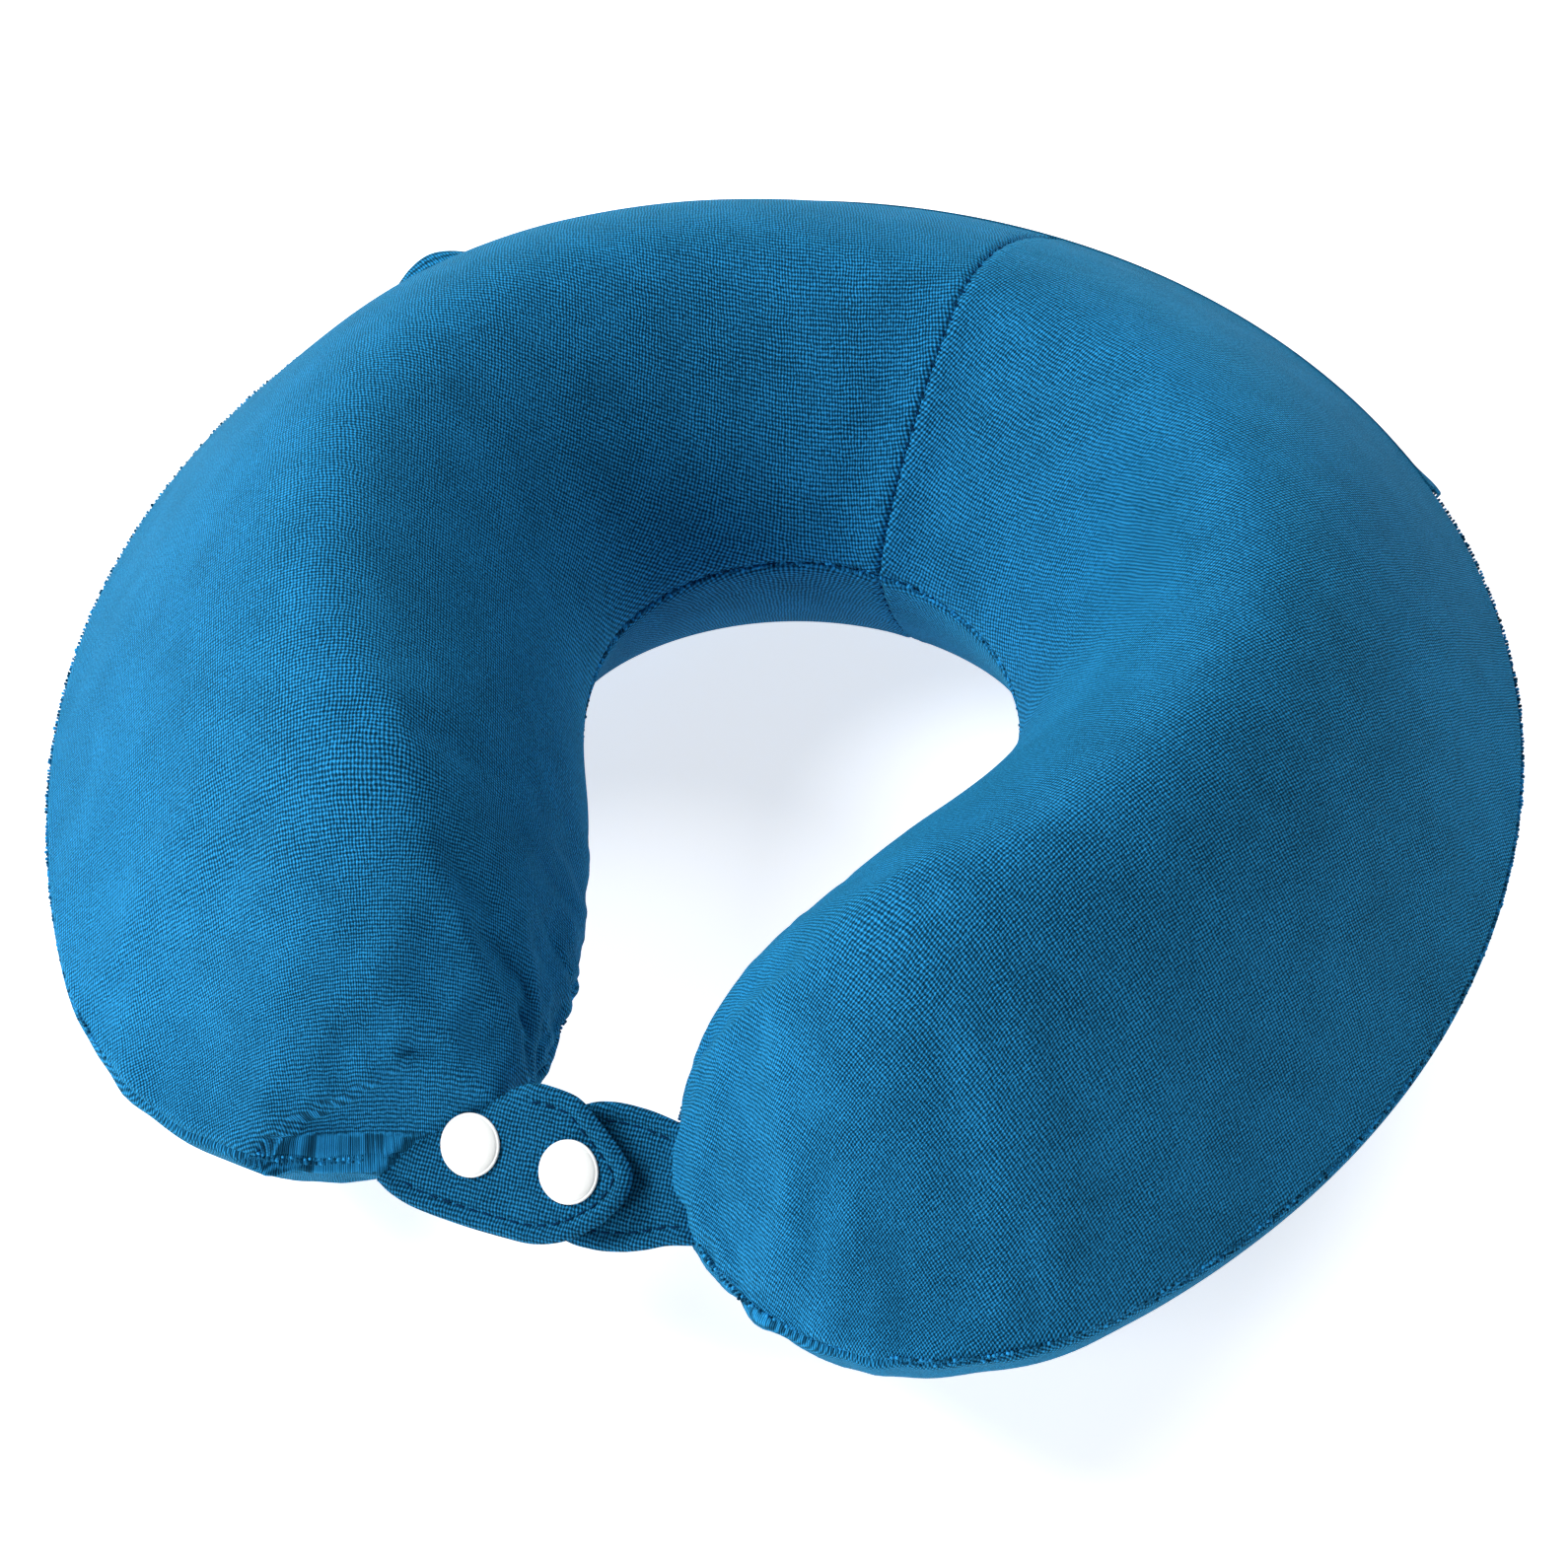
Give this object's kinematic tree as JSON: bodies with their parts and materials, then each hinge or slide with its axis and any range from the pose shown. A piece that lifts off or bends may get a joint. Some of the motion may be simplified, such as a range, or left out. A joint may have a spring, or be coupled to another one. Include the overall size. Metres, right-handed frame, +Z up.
{
  "type": "neck pillow",
  "caption": "U-shaped padded neck pillow with a foam core, a zipped knit cover and two pointed tabs that snap together across the front.",
  "frame": {"origin": "middle of the footprint, on the surface the pillow lies on", "axes": "+Z up, +Y to the back of the neck, the arms open towards -Y, +X across to the arm on the right"},
  "size_m": [0.2886, 0.2826, 0.12],
  "materials": {
    "foam": "soft open-cell memory foam, matt",
    "knit_top": "short-pile ribbed knit velour, soft sheen",
    "knit_under": "short-pile ribbed knit velour, soft sheen",
    "tab_knit": "short-pile ribbed knit velour, topstitched",
    "zip_tape": "woven polyester tape, matt",
    "zip_nylon": "nylon monofilament, satin",
    "zip_slider_finish": "black lacquered zinc, satin",
    "snap_white": "glossy acetal"
  },
  "bodies": {
    "pillow": {"foam_core": "foam", "cover_top_left": "knit_top", "cover_top_right": "knit_top", "cover_bottom_left": "knit_under", "cover_bottom_right": "knit_under", "zip_tape_upper": "zip_tape", "zip_tape_lower": "zip_tape", "zip_coil_upper": "zip_nylon", "zip_coil_lower": "zip_nylon", "zip_placket_upper": "knit_top", "zip_placket_lower": "knit_under", "zip_top_stops": "zip_nylon", "zip_bottom_stop": "zip_nylon"},
    "zip_slider": {"zip_slider_body": "zip_slider_finish"},
    "zip_pull": {"zip_pull_tab": "zip_slider_finish"},
    "left_tab": {"left_tab_face": "tab_knit", "left_tab_lining": "tab_knit", "snap_cap_near_tip": "snap_white", "snap_cap_near_root": "snap_white", "snap_socket_near_tip": "snap_white", "snap_socket_near_root": "snap_white"},
    "right_tab": {"right_tab_face": "tab_knit", "right_tab_lining": "tab_knit", "snap_stud": "snap_white", "snap_stud_cap": "snap_white"}
  },
  "joints": [
    {"name": "zip_run", "type": "hinge", "parent": "pillow", "child": "zip_slider", "pos_m": [0, -0.00507, 0.0445], "axis": [0, 0, -1], "range_deg": [0, 98.7]},
    {"name": "pull_flip", "type": "hinge", "parent": "zip_slider", "child": "zip_pull", "pos_m": [-0.12579, 0.06951, 0.0428], "axis": [-0.3074, 0.1823, 0.9339], "range_deg": [0, 165]},
    {"name": "left_tab_open", "type": "hinge", "parent": "pillow", "child": "left_tab", "pos_m": [-0.02426, -0.12376, 0.05128], "axis": [-0.366, -0.6408, -0.6749], "range_deg": [0, 50]},
    {"name": "right_tab_open", "type": "hinge", "parent": "pillow", "child": "right_tab", "pos_m": [0.02252, -0.1217, 0.05351], "axis": [0.3432, -0.7124, -0.6121], "range_deg": [0, 50]}
  ]
}
